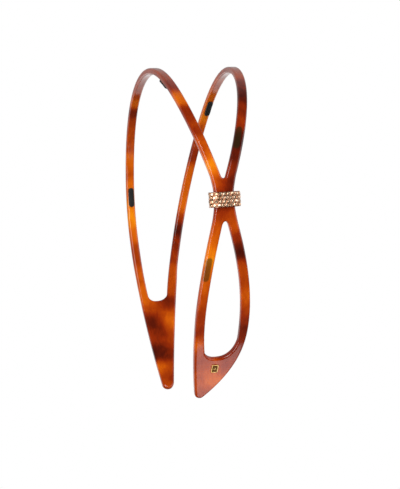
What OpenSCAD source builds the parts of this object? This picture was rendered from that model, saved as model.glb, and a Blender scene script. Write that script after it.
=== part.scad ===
// Bent-sheet headband: two thin strands run over the head from one tip, cross through a
// jewelled ring above the other ear, open again into a loop and close into the second tip.
// Frame: origin at the centre of the crown curve, +X towards the ring side, +Y across the
// band from the straight strand towards the bowed strand, +Z up. Sizes in millimetres.
// A point of the band is given by s, the length along the sheet's middle from the top of
// the crown (positive on the ring side), and by y, its place across the band.

/* [Band sheet] */
// Thickness of the sheet
band_t = 2.7; // [2.2:0.1:3.2]
// Width of one strand
strand_w = 4.1; // [3.6:0.1:4.6]
// Radius of the crown curve, at the middle of the sheet
crown_r = 59; // [56:0.5:62]
// Angle that the crown curve covers on each side of the top
crown_half_angle = 102.5; // [98:0.5:106]
// Radius of the flatter curve of each leg below the crown
leg_r = 216; // [190:1:260]
// Saw gap between the two halves at the top of the crown
crown_gap = 0.1; // [0.05:0.05:0.3]

/* [Tips] */
// Length along the sheet from the top of the crown to the plain side's tip
far_tip_s = 186.5; // [184:0.5:188]
// Radius of the rounded tip on the plain side
far_tip_r = 2.9; // [2:0.1:3.5]
// Place of that tip across the band
far_tip_y = 0.8; // [0:0.1:1.5]
// Length along the sheet from the top of the crown to the ring side's tip
near_tip_s = 185.3; // [184:0.1:186]
// Radius of the rounded tip on the ring side
near_tip_r = 2.4; // [2:0.1:2.6]
// Place of that tip across the band
near_tip_y = -0.8; // [-1:0.1:-0.5]

/* [Openings] */
// End of the long opening near the plain side's tip
long_opening_end = 139.7; // [136:0.1:142]
// Start of its rounded end
long_opening_round = 130; // [126:0.5:132]
// Notch where the long opening ends above the ring
upper_notch = 88.6; // [88:0.1:89]
// Notch where the loop starts below the ring
lower_notch = 105.9; // [105.5:0.1:106.5]
// Radius of both notches
notch_r = 1; // [0.8:0.1:1.1]
// Reach of the fillets that widen the waist between the notches
waist_fillet = 7.5; // [6:0.5:8]
// Lower end of the loop opening
loop_end = 165.6; // [163:0.1:166]
// Start of its rounded end
loop_round = 150; // [148:0.5:152]

/* [Ring] */
// Place of the ring along the band
ring_s = 97.1; // [96.5:0.1:97.5]
// Place of the ring across the band
ring_y = 6.4; // [6.2:0.1:6.5]
// Height of the ring along the band
ring_h = 6.8; // [6.6:0.1:7]
// Width of the metal shell across the band
ring_w = 12.6; // [12.5:0.1:13.5]
// Depth of the metal shell through the band
ring_d = 6.2; // [6:0.1:6.6]
// Corner radius of the shell
ring_corner = 2.9; // [2.6:0.1:3]
// Width of the slot that the band's waist passes through
slot_w = 9.8; // [9.7:0.1:10]
// Clearance between the waist and the slot on each face
slot_play = 0.1; // [0.05:0.05:0.2]

/* [Crystals] */
// Diameter of a crystal
crystal_d = 1.5; // [1.4:0.05:1.6]
// Spacing of crystals along a row
crystal_pitch = 1.72; // [1.7:0.02:1.8]
// Height of a crystal above the shell
crystal_h = 0.42; // [0.3:0.02:0.5]
// Diameter of a setting bead
bead_d = 0.5; // [0.4:0.05:0.55]

/* [Grip pads and badge] */
// Length of a grip pad along the band
pad_l = 9.9; // [8:0.1:11]
// Width of a grip pad
pad_w = 2.7; // [2.2:0.1:3]
// Thickness of a grip pad
pad_t = 1.1; // [0.8:0.1:1.3]
// Glue line between a pad or the badge and the sheet
glue_t = 0.05; // [0.04:0.01:0.1]
// Size of the badge along the band
badge_l = 3.8; // [3:0.1:4.5]
// Size of the badge across the band
badge_w = 3; // [2.5:0.1:3.5]
// Thickness of the badge
badge_t = 0.3; // [0.2:0.05:0.5]

/* [Hidden] */

// Control values of the strands' middle lines, evenly spaced between the two ends
far_start = -147;
upper_stop = 90;
straight_strand = [6.5, -2.5, -2.5, -2, -4, -5.5, -6, 3.5, 16.5];
bowed_strand = [8.5, 7.5, 23, 35, 34.5, 27, 9.5, -11.5];
loop_start = 95;
loop_stop = 169;
loop_front_strand = [19, 5.5, -3, -5, 14];
loop_rear_strand = [-6, 6.5, 17, 16, 6.5];
// Length over which one edge law eases into the next
ease_l = 6;
// Longest step between stations along the band, and the step at openings and tips
long_step = 3;
fine_step = 0.7;
amber = [0.62, 0.26, 0.04];
gold = [0.83, 0.62, 0.42];
crystal = [0.93, 0.8, 0.68];
pad_black = [0.07, 0.07, 0.06];

function mix(a, b, f) = a + (b - a) * f;
function ease(f) = let (c = max(0, min(1, f))) c * c * (3 - 2 * c);

// Smooth curve through evenly spaced control values
function spline_at(s, first, last, v) =
  let (
    n = len(v) - 3,
    u = (s - first) / (last - first) * n,
    i = max(0, min(n - 1, floor(u))),
    f = u - i
  )
  (pow(1 - f, 3) * v[i] + (3 * pow(f, 3) - 6 * f * f + 4) * v[i + 1]
    + (-3 * pow(f, 3) + 3 * f * f + 3 * f + 1) * v[i + 2] + pow(f, 3) * v[i + 3]) / 6;

// Middle lines of the two strands, each one running on through the crossing
function front_line(s) = s <= upper_stop ? spline_at(s, far_start, upper_stop, straight_strand)
  : s >= loop_start ? spline_at(s, loop_start, loop_stop, loop_rear_strand)
  : mix(front_line(upper_stop), front_line(loop_start),
    (s - upper_stop) / (loop_start - upper_stop));
function rear_line(s) = s <= upper_stop ? spline_at(s, far_start, upper_stop, bowed_strand)
  : s >= loop_start ? spline_at(s, loop_start, loop_stop, loop_front_strand)
  : mix(rear_line(upper_stop), rear_line(loop_start),
    (s - upper_stop) / (loop_start - upper_stop));
function slope_of(a, b) = (b - a) / 2;
function front_half_w(s) = strand_w / 2 * norm([1, slope_of(front_line(s - 1), front_line(s + 1))]);
function rear_half_w(s) = strand_w / 2 * norm([1, slope_of(rear_line(s - 1), rear_line(s + 1))]);

// Edges of the pointed plates at the two ends
function far_plate_low(a) = -4.4 + 2.3 * pow(max(0, a - 121) / 60, 1.3);
function far_plate_high(a) = 17.6 - 0.232 * (a - 124.5);
function near_plate_low(s) = -5.5 + 2.7 * pow(max(0, s - 153) / 32.6, 2);
function near_plate_high(s) = 18 - 10.1 * pow(max(0, s - 147) / 30, 2.36);

// Half width of a rounded tip, d short of its end, where an edge meets it at the lean angle
function round_cap(d, r, lean = 0) = d < r * (1 - sin(lean)) ? sqrt(max(0, d * (2 * r - d))) : 1e3;
far_tip_lean = 13;
near_tip_lean = 45;

// The greater of two values, with a fillet where they come close
function filleted_max(a, b) = max(a, b) + pow(max(0, waist_fillet - abs(a - b)), 2) / waist_fillet / 4;

function low_edge(s) =
  let (strand = -filleted_max(front_half_w(s) - front_line(s), rear_half_w(s) - rear_line(s)))
  s < 0 ? max(mix(strand, far_plate_low(-s), ease((-s - 121 + ease_l) / ease_l / 2)),
    far_tip_y - round_cap(far_tip_s + s, far_tip_r))
  : max(mix(strand, near_plate_low(s), ease((s - 153 + ease_l) / ease_l / 2)),
    near_tip_y - round_cap(near_tip_s - s, near_tip_r));
function high_edge(s) =
  let (strand = filleted_max(front_line(s) + front_half_w(s), rear_line(s) + rear_half_w(s)))
  s < 0 ? min(mix(strand, far_plate_high(-s), ease((-s - 124.5 + ease_l) / ease_l / 2)),
    far_tip_y + round_cap(far_tip_s + s, far_tip_r, far_tip_lean))
  : min(mix(strand, near_plate_high(s), ease((s - 147 + ease_l) / ease_l / 2)),
    near_tip_y + round_cap(near_tip_s - s, near_tip_r, near_tip_lean));

// Half gap of an opening's flattened round end, f of the way along it
function blunt_gap(f, w) = f <= 0 ? 1e3 : w * pow(max(0, 1 - pow(min(1, f), 3)), 0.4);

// The two edges of the opening at s, equal where the sheet is solid
function long_opening(s) =
  let (
    low = front_line(s) + front_half_w(s),
    high = rear_line(s) - rear_half_w(s),
    f = (-s - long_opening_round) / (long_opening_end - long_opening_round),
    middle = f > 0 ? 5.8 - 1.5 * f * f : (low + high) / 2,
    gap = min(blunt_gap(f, 5.9), round_cap(upper_notch - s, notch_r))
  )
  [max(low, middle - gap), min(high, middle + gap)];
function loop_opening(s) =
  let (
    low = rear_line(s) + rear_half_w(s),
    high = front_line(s) - front_half_w(s),
    f = (s - loop_round) / (loop_end - loop_round),
    middle = f > 0 ? 6.25 - 1.1 * f * f : (low + high) / 2,
    gap = min(blunt_gap(f, 8.2), round_cap(s - lower_notch, notch_r))
  )
  [max(low, middle - gap), min(high, middle + gap)];
function is_shut(s) = s <= -long_opening_end || s >= loop_end
  || (s >= upper_notch && s <= lower_notch);
function middle_of(s) = s <= -long_opening_end ? mix(4.3, far_tip_y, ease((-s - long_opening_end) / 40))
  : s >= loop_end ? mix(5.15, near_tip_y, ease((s - loop_end) / 22))
  : (front_line(s) + rear_line(s)) / 2;
function opening_at(s) = is_shut(s) ? [middle_of(s), middle_of(s)]
  : s < upper_notch ? long_opening(s) : loop_opening(s);
function edges_at(s) = let (o = opening_at(s)) [low_edge(s), o[0], o[1], high_edge(s)];

// Point of the band's section curve at s, moved out from the middle of the sheet
function turn_at(a) = let (bend = crown_r * crown_half_angle * PI / 180)
  a <= bend ? a / crown_r * 180 / PI : crown_half_angle + (a - bend) / leg_r * 180 / PI;
function on_band(s, y, out) =
  let (
    turn = turn_at(abs(s)),
    base = min(turn, crown_half_angle),
    reach = turn > crown_half_angle ? leg_r : 0,
    x = crown_r * sin(base) + reach * (sin(turn) - sin(crown_half_angle)) + out * sin(turn),
    z = crown_r * cos(base) + reach * (cos(turn) - cos(crown_half_angle)) + out * cos(turn)
  )
  [sign(s) * x, y, z];

// A slab that follows the band: rows holds [s, low, inner low, inner high, high] at each
// station, and the slab has an opening where the two inner values differ
function slab_points(rows, top, bottom) = [
  for (r = rows, out = [top, bottom], k = [1 : 4]) on_band(r[0], r[k], out)
];
function corner(rows, i, k) = 8 * i + (k % 4 == 2 && rows[i][2] == rows[i][3] ? k - 1 : k);
function four(rows, i, a, j, b, k, c, l, d) =
  let (p = corner(rows, i, a), q = corner(rows, j, b), r = corner(rows, k, c), t = corner(rows, l, d))
  [[p, q, r], [p, r, t]];
function skin_faces(rows, i) = let (j = i + 1) concat(
  four(rows, i, 0, i, 1, j, 1, j, 0), four(rows, i, 2, i, 3, j, 3, j, 2),
  four(rows, i, 5, i, 4, j, 4, j, 5), four(rows, i, 7, i, 6, j, 6, j, 7),
  four(rows, i, 4, i, 0, j, 0, j, 4), four(rows, i, 3, i, 7, j, 7, j, 3)
);
function opening_faces(rows, i) = let (j = i + 1)
  rows[i][2] == rows[i][3] && rows[j][2] == rows[j][3] ? []
  : concat(four(rows, i, 1, i, 5, j, 5, j, 1), four(rows, i, 6, i, 2, j, 2, j, 6));
function end_faces(rows) = let (m = len(rows) - 1) concat(
  four(rows, 0, 0, 0, 4, 0, 5, 0, 1), four(rows, 0, 2, 0, 6, 0, 7, 0, 3),
  four(rows, m, 0, m, 1, m, 5, m, 4), four(rows, m, 2, m, 3, m, 7, m, 6)
);
function real_face(f) = f[0] != f[1] && f[1] != f[2] && f[2] != f[0];
function slab_faces(rows) = [
  for (f = concat([for (i = [0 : len(rows) - 2]) each skin_faces(rows, i)],
    [for (i = [0 : len(rows) - 2]) each opening_faces(rows, i)], end_faces(rows)))
  if (real_face(f)) f
];
function turned(faces) = [for (f = faces) [f[2], f[1], f[0]]];
module slab(rows, top, bottom) {
  faces = slab_faces(rows);
  flip = rows[len(rows) - 1][0] < rows[0][0];
  polyhedron(slab_points(rows, top, bottom), flip ? turned(faces) : faces, convexity = 8);
}

// Stations between two values, no further apart than the step
function steps(first, last, step) =
  let (n = ceil(abs(last - first) / step)) [for (i = [0 : n - 1]) mix(first, last, i / n)];
function band_rows(stations) = [for (s = stations) concat([s], edges_at(s))];
tip_land = 0.1;
far_stations = [for (a = concat(
  steps(crown_gap / 2, long_opening_round, long_step),
  steps(long_opening_round, long_opening_end - 0.6, fine_step),
  steps(long_opening_end - 0.6, long_opening_end, fine_step / 3),
  steps(long_opening_end, far_tip_s - far_tip_r, long_step),
  steps(far_tip_s - far_tip_r, far_tip_s - tip_land, fine_step), [far_tip_s - tip_land])) -a];
near_stations = concat(
  steps(crown_gap / 2, upper_notch - notch_r, long_step),
  steps(upper_notch - notch_r, upper_notch, notch_r / 4),
  steps(upper_notch, lower_notch, long_step),
  steps(lower_notch, lower_notch + notch_r, notch_r / 4),
  steps(lower_notch + notch_r, loop_round, long_step),
  steps(loop_round, loop_end - 0.6, fine_step),
  steps(loop_end - 0.6, loop_end, fine_step / 3),
  steps(loop_end, near_tip_s - near_tip_r, long_step),
  steps(near_tip_s - near_tip_r, near_tip_s - tip_land, fine_step), [near_tip_s - tip_land]);

module band_far_half() {
  color(amber) slab(band_rows(far_stations), band_t / 2, -band_t / 2);
}

module band_near_half() {
  color(amber) slab(band_rows(near_stations), band_t / 2, -band_t / 2);
}

// Puts children on the sheet at s and y: their +X points out of the band, their +Z up it
module at_band(s, y) {
  turn = turn_at(abs(s));
  translate(on_band(s, y, 0)) rotate([0, turn - 90, 0]) children();
}

module rounded_plan(d, w, r) {
  square([d - 2 * r, w], center = true);
  square([d, w - 2 * r], center = true);
  for (i = [-1, 1], j = [-1, 1])
    translate([i * (d / 2 - r), j * (w / 2 - r)]) circle(r = r, $fn = 64);
}

// Metal collar round the waist, before it is parted into its two halves
slot_d = band_t + 2 * slot_play;
module collar() {
  difference() {
    linear_extrude(ring_h, center = true) rounded_plan(ring_d, ring_w, ring_corner);
    linear_extrude(ring_h + 2, center = true) rounded_plan(slot_d, slot_w, 0.6);
  }
}
part_line = -slot_d / 2;

module ring_front_shell() {
  color(gold) at_band(ring_s, ring_y) intersection() {
    collar();
    translate([part_line, -ring_w, -ring_h]) cube([ring_d * 2, ring_w * 2, ring_h * 2]);
  }
}

module ring_back_plate() {
  color(gold) at_band(ring_s, ring_y) intersection() {
    collar();
    translate([part_line - ring_d * 2, -ring_w, -ring_h]) cube([ring_d * 2, ring_w * 2, ring_h * 2]);
  }
}

// Drops of glue in the slot beside the waist
glue_w = 0.4;
glue_d = 1.6;
glue_h = 3;
module ring_glue() {
  color([0.85, 0.82, 0.7]) at_band(ring_s, ring_y)
    for (side = [-1, 1])
      translate([0, side * (slot_w / 2 - glue_w / 2 - 0.02), 0])
        cube([glue_d, glue_w, glue_h], center = true);
}

// Place on the shell's outline, u along it from the middle of the front
flat_half = ring_w / 2 - ring_corner;
corner_len = ring_corner * PI / 2;
function outline_turn(u) = let (a = abs(u))
  a <= flat_half ? 0 : min(90, (a - flat_half) / corner_len * 90);
function outline_point(u) = let (a = abs(u), t = outline_turn(u), past = max(0, a - flat_half - corner_len))
  a <= flat_half ? [ring_d / 2, u]
  : [ring_d / 2 - ring_corner + ring_corner * cos(t) - past,
    sign(u) * (flat_half + ring_corner * sin(t))];
module on_outline(u, z) {
  at_band(ring_s, ring_y) translate([outline_point(u)[0], outline_point(u)[1], z])
    rotate([0, 0, sign(u) * outline_turn(u)]) rotate([0, 90, 0]) children();
}

// Rows lie one above another like honeycomb, every second row half a pitch along
row_rise = crystal_pitch * sqrt(3) / 2;
function row_z(k) = (k - 1.5) * row_rise;
function row_offset(k) = k % 2 == 0 ? 0 : 0.5;
last_u = flat_half + corner_len + 0.4;
reach_n = floor(last_u / crystal_pitch);
function row_places(k) = [for (i = [-reach_n - 1 : reach_n])
  let (u = (i + row_offset(k)) * crystal_pitch) if (abs(u) <= last_u) u];
module crystal_row(k) {
  color(crystal) for (u = row_places(k))
    on_outline(u, row_z(k)) translate([0, 0, 0.02])
      cylinder(h = crystal_h, d1 = crystal_d, d2 = crystal_d * 0.6, $fn = 24);
}
module crystal_row_top() crystal_row(3);
module crystal_row_upper() crystal_row(2);
module crystal_row_lower() crystal_row(1);
module crystal_row_bottom() crystal_row(0);

// Small beads in the gaps between two rows, which hold the crystals
module setting_beads() {
  color(gold) for (k = [0 : 2], u = row_places(k))
    on_outline(u, row_z(k) + row_rise * 2 / 3) translate([0, 0, bead_d / 2 + 0.02])
      sphere(d = bead_d, $fn = 24);
}

// A grip pad with round ends on the inner face, following a strand's line
function pad_half(f) = pad_w / 2 * sqrt(max(0.05, 1 - pow(max(0, abs(f) * pad_l / 2 - pad_l / 2 + pad_w / 2)
  / (pad_w / 2), 2)));
pad_fs = [-1, -0.95, -0.86, -0.73, -0.4, 0, 0.4, 0.73, 0.86, 0.95, 1];
module grip_pad(s, y, slope) {
  rows = [for (f = pad_fs)
    let (along = sign(s) * f * pad_l / 2, m = y + along * slope, h = pad_half(f))
    [s + along, m - h, m, m, m + h]];
  color(pad_black) slab(rows, -band_t / 2 - glue_t, -band_t / 2 - glue_t - pad_t);
}
module grip_pad_far_leg() grip_pad(-84.5, front_line(-84.5), 0);
module grip_pad_far_crown() grip_pad(-34.4, rear_line(-34.4), 0);
module grip_pad_near_crown() grip_pad(33, front_line(33) - 0.3, 0.024);
module grip_pad_near_rear() grip_pad(71.3, rear_line(71.3) - 0.3, -0.365);
module grip_pad_near_loop() grip_pad(124.5, rear_line(124.5), -0.17);

// Small plain gilded badge on the outer face of the ring side's plate
badge_s = 170.1;
badge_y = 4.1;
badge_slant = -4;
module on_badge(lift) {
  at_band(badge_s, badge_y) translate([band_t / 2 + glue_t + lift, 0, 0])
    rotate([badge_slant, 0, 0]) rotate([0, 90, 0]) children();
}
module badge_plate() {
  color(gold) on_badge(0) linear_extrude(badge_t) rounded_plan(badge_l, badge_w, 0.5);
}
lozenge_r = 0.8;
lozenge_h = 0.2;
module badge_lozenge() {
  color(gold) on_badge(badge_t + 0.01) cylinder(h = lozenge_h, r = lozenge_r, $fn = 4);
}

band_far_half();
band_near_half();
ring_front_shell();
ring_back_plate();
ring_glue();
crystal_row_top();
crystal_row_upper();
crystal_row_lower();
crystal_row_bottom();
setting_beads();
grip_pad_far_leg();
grip_pad_far_crown();
grip_pad_near_crown();
grip_pad_near_rear();
grip_pad_near_loop();
badge_plate();
badge_lozenge();
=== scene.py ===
"""Looks of a tortoiseshell headband with a jewelled ring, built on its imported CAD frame."""

import logging
import math
from dataclasses import dataclass, field
from enum import Enum
from typing import Callable, Iterable, Sequence

import bmesh
import bpy
import numpy as np
from mathutils import Matrix, Vector
from mathutils.geometry import delaunay_2d_cdt


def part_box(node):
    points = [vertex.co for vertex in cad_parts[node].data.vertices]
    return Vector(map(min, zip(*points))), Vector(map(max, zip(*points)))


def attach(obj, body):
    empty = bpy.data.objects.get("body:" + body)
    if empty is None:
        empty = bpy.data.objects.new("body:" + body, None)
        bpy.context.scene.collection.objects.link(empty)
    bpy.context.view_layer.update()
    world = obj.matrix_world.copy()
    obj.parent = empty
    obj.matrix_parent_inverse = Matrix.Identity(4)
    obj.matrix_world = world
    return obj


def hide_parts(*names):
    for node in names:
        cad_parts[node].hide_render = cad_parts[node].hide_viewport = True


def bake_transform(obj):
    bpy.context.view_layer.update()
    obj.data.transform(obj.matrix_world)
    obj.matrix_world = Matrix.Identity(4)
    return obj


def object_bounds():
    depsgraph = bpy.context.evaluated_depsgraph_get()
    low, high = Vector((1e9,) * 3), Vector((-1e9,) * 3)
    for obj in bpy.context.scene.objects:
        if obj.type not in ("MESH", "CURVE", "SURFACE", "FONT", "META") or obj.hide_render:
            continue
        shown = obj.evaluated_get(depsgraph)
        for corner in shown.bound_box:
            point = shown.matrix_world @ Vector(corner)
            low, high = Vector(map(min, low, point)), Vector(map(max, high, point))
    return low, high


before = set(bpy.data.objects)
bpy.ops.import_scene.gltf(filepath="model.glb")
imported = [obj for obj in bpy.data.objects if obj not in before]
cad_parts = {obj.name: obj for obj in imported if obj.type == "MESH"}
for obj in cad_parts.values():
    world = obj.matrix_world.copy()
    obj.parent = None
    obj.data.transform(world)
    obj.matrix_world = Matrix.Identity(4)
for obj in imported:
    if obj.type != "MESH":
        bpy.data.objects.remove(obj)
CAD_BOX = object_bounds()
log = logging.getLogger("headband")

MM = 0.001
FAR_ARM = "far_arm"
NEAR_ARM = "near_arm"
Array = np.ndarray
Colour = tuple[float, float, float]
Shape = tuple[Array, list[tuple[int, ...]]]


class Side(Enum):
    """Face of the bent sheet: the one away from the head, or the one against it."""

    OUTER = 1
    INNER = -1


# --------------------------------------------------------------------------- node helpers


class Graph:
    """A node tree with short ways to add nodes and join them."""

    def __init__(self, tree: bpy.types.NodeTree) -> None:
        """Wraps tree.

        Args:
            tree: the node tree of a material or a group.
        """
        self.tree = tree

    def add(self, kind: str, **settings: object) -> bpy.types.Node:
        """Adds one node.

        Args:
            kind: the node's type, without its ShaderNode prefix.
            settings: the node's properties.

        Returns:
            The new node.
        """
        node = self.tree.nodes.new("ShaderNode" + kind)
        for name, value in settings.items():
            setattr(node, name, value)
        return node

    def feed(self, socket: bpy.types.NodeSocket, source: object) -> None:
        """Joins source to socket, or sets it when source is a plain value.

        Args:
            socket: an input socket.
            source: an output socket, a number or a sequence of numbers.
        """
        if isinstance(source, bpy.types.NodeSocket):
            self.tree.links.new(source, socket)
        elif isinstance(source, (int, float)):
            socket.default_value = source
        else:
            values = tuple(source)
            room = len(socket.default_value)
            socket.default_value = values + (1.0,) * (room - len(values))

    def math(self, operation: str, *values: object) -> bpy.types.NodeSocket:
        """Adds a Math node.

        Args:
            operation: the operation's name.
            values: its inputs, sockets or numbers.

        Returns:
            The result's socket.
        """
        node = self.add("Math", operation=operation)
        for socket, value in zip(node.inputs, values):
            self.feed(socket, value)
        return node.outputs[0]

    def scaled(self, vector: object, scale: Sequence[float]) -> bpy.types.NodeSocket:
        """Multiplies a vector by a scale along each axis.

        Args:
            vector: the vector's socket.
            scale: three factors.

        Returns:
            The product's socket.
        """
        node = self.add("VectorMath", operation="MULTIPLY")
        self.feed(node.inputs[0], vector)
        self.feed(node.inputs[1], scale)
        return node.outputs[0]

    def noise(self, vector: object, scale: float, detail: float = 2.0,
              distortion: float = 0.0) -> bpy.types.NodeSocket:
        """Adds a noise texture.

        Args:
            vector: where it is read.
            scale: its frequency.
            detail: its number of octaves.
            distortion: how far it is warped.

        Returns:
            The noise value's socket, from 0 to 1.
        """
        node = self.add("TexNoise")
        self.feed(node.inputs["Vector"], vector)
        for name, value in (("Scale", scale), ("Detail", detail), ("Distortion", distortion)):
            self.feed(node.inputs[name], value)
        return node.outputs[0]

    def between(self, value: object, low: float, high: float, out_low: float = 0.0,
                out_high: float = 1.0) -> bpy.types.NodeSocket:
        """Maps a range smoothly on to another.

        Args:
            value: the value's socket.
            low: start of the range read.
            high: end of the range read.
            out_low: result at low.
            out_high: result at high.

        Returns:
            The result's socket.
        """
        node = self.add("MapRange", interpolation_type="SMOOTHSTEP")
        for socket, given in zip(node.inputs, (value, low, high, out_low, out_high)):
            self.feed(socket, given)
        return node.outputs[0]

    def ramp(self, value: object, stops: Iterable[tuple[float, Colour]]) -> bpy.types.NodeSocket:
        """Adds a colour ramp.

        Args:
            value: the value's socket.
            stops: places from 0 to 1 and their colours.

        Returns:
            The colour's socket.
        """
        node = self.add("ValToRGB")
        elements = node.color_ramp.elements
        stops = list(stops)
        while len(elements) < len(stops):
            elements.new(0.5)
        for element, (place, colour) in zip(elements, stops):
            element.position = place
            element.color = (*colour, 1.0)
        self.feed(node.inputs[0], value)
        return node.outputs[0]

    def mix(self, factor: object, first: object, second: object) -> bpy.types.NodeSocket:
        """Mixes two colours.

        Args:
            factor: 0 for first, 1 for second.
            first: a colour or its socket.
            second: a colour or its socket.

        Returns:
            The mixed colour's socket.
        """
        node = self.add("Mix", data_type="RGBA")
        self.feed(node.inputs["Factor"], factor)
        self.feed(node.inputs[6], first)
        self.feed(node.inputs[7], second)
        return node.outputs[2]

    def attribute(self, name: str, output: str) -> bpy.types.NodeSocket:
        """Reads a mesh attribute.

        Args:
            name: the attribute's name.
            output: Fac, Vector or Color.

        Returns:
            The socket of that output.
        """
        return self.add("Attribute", attribute_name=name).outputs[output]


def shared_group(name: str, inputs: dict[str, float | None], outputs: Sequence[tuple[str, str]],
                 build: Callable[[Graph, bpy.types.Node, bpy.types.Node], None]) -> bpy.types.NodeTree:
    """Makes a shader node group once, and finds it again afterwards.

    Args:
        name: the group's name.
        inputs: names of its inputs with their defaults, None for a vector.
        outputs: names of its outputs with their socket types.
        build: adds its nodes, given the graph, the input node and the output node.

    Returns:
        The group's node tree.
    """
    found = bpy.data.node_groups.get(name)
    if found is not None:
        return found
    tree = bpy.data.node_groups.new(name, "ShaderNodeTree")
    for label, default in inputs.items():
        kind = "NodeSocketVector" if default is None else "NodeSocketFloat"
        socket = tree.interface.new_socket(label, in_out="INPUT", socket_type=kind)
        if default is not None:
            socket.default_value = default
    for label, kind in outputs:
        tree.interface.new_socket(label, in_out="OUTPUT", socket_type=kind)
    graph = Graph(tree)
    source = tree.nodes.new("NodeGroupInput")
    sink = tree.nodes.new("NodeGroupOutput")
    build(graph, source, sink)
    return tree


def fine_wear_group() -> bpy.types.NodeTree:
    """Hairline scratches and faint smears, as a roughness change and a height.

    Returns:
        The group, with outputs Smear, from 0 to 1, and Height.
    """

    def build(graph: Graph, source: bpy.types.Node, sink: bpy.types.Node) -> None:
        """Adds the group's nodes."""
        smear = graph.noise(source.outputs["Place"], 140.0, detail=3.0, distortion=0.6)
        scratch = graph.noise(graph.scaled(source.outputs["Place"], (1.0, 14.0, 9.0)), 260.0, detail=1.0)
        off_line = graph.math("ABSOLUTE", graph.math("SUBTRACT", scratch, 0.5))
        line = graph.between(off_line, 0.0, 0.03, 1.0, 0.0)
        graph.feed(sink.inputs["Smear"], graph.math(
            "MULTIPLY", graph.between(smear, 0.4, 0.75), source.outputs["Amount"]))
        graph.feed(sink.inputs["Height"], graph.math("MULTIPLY", line, source.outputs["Amount"]))

    return shared_group("fine_wear", {"Place": None, "Amount": 1.0},
                        (("Smear", "NodeSocketFloat"), ("Height", "NodeSocketFloat")), build)


class Finish:
    """A material under construction: its graph and its Principled shader."""

    def __init__(self, name: str, **sockets: object) -> None:
        """Makes the material and sets the shader's own sockets.

        Args:
            name: the material's name.
            sockets: Principled inputs, with spaces written as underscores.
        """
        self.material = bpy.data.materials.new(name)
        self.material.use_nodes = True
        self.graph = Graph(self.material.node_tree)
        self.shader = self.material.node_tree.nodes["Principled BSDF"]
        for label, value in sockets.items():
            self.graph.feed(self.shader.inputs[label.replace("_", " ")], value)

    def drive(self, label: str, source: bpy.types.NodeSocket) -> None:
        """Feeds one of the shader's inputs from a socket."""
        self.graph.feed(self.shader.inputs[label], source)

    def wear(self, place: bpy.types.NodeSocket, amount: float, gain: float,
             base: float) -> bpy.types.NodeSocket:
        """Adds the shared wear group, whose smears roughen the surface.

        Args:
            place: where it is read.
            amount: its strength.
            gain: roughness that a full smear adds.
            base: roughness where there is none.

        Returns:
            The socket of the wear's height.
        """
        node = self.graph.add("Group", node_tree=fine_wear_group())
        self.graph.feed(node.inputs["Place"], place)
        self.graph.feed(node.inputs["Amount"], amount)
        self.drive("Roughness", self.graph.math("MULTIPLY_ADD", node.outputs["Smear"], gain, base))
        return node.outputs["Height"]

    def bump(self, height: bpy.types.NodeSocket, distance: float, strength: float) -> None:
        """Feeds the shader's normal from a height.

        Args:
            height: the height's socket.
            distance: size of one unit of height, in metres.
            strength: strength of the bump.
        """
        node = self.graph.add("Bump")
        self.graph.feed(node.inputs["Height"], height)
        self.graph.feed(node.inputs["Distance"], distance)
        self.graph.feed(node.inputs["Strength"], strength)
        self.drive("Normal", node.outputs["Normal"])


# --------------------------------------------------------------------------- flat pattern


def ease(value: Array) -> Array:
    """Smooth step of value from 0 to 1."""
    held = np.clip(value, 0.0, 1.0)
    return held * held * (3.0 - 2.0 * held)


@dataclass(frozen=True)
class Strand:
    """Middle line of a strand: a smooth curve through evenly spaced control values."""

    first: float
    last: float
    controls: tuple[float, ...]

    def at(self, s: Array) -> Array:
        """Place across the band at s.

        Args:
            s: lengths along the sheet, in millimetres.

        Returns:
            Places across the band, in millimetres.
        """
        v = np.array(self.controls)
        spans = len(v) - 3
        u = (np.asarray(s, float) - self.first) / (self.last - self.first) * spans
        i = np.clip(np.floor(u).astype(int), 0, spans - 1)
        f = u - i
        weights = ((1 - f) ** 3, 3 * f**3 - 6 * f**2 + 4, -3 * f**3 + 3 * f**2 + 3 * f + 1, f**3)
        return sum(w * v[i + k] for k, w in enumerate(weights)) / 6.0


@dataclass(frozen=True)
class Tip:
    """Rounded end of the band: where it is, its radius and the angle its high edge meets it at."""

    s: float
    radius: float
    y: float
    lean: float


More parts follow.
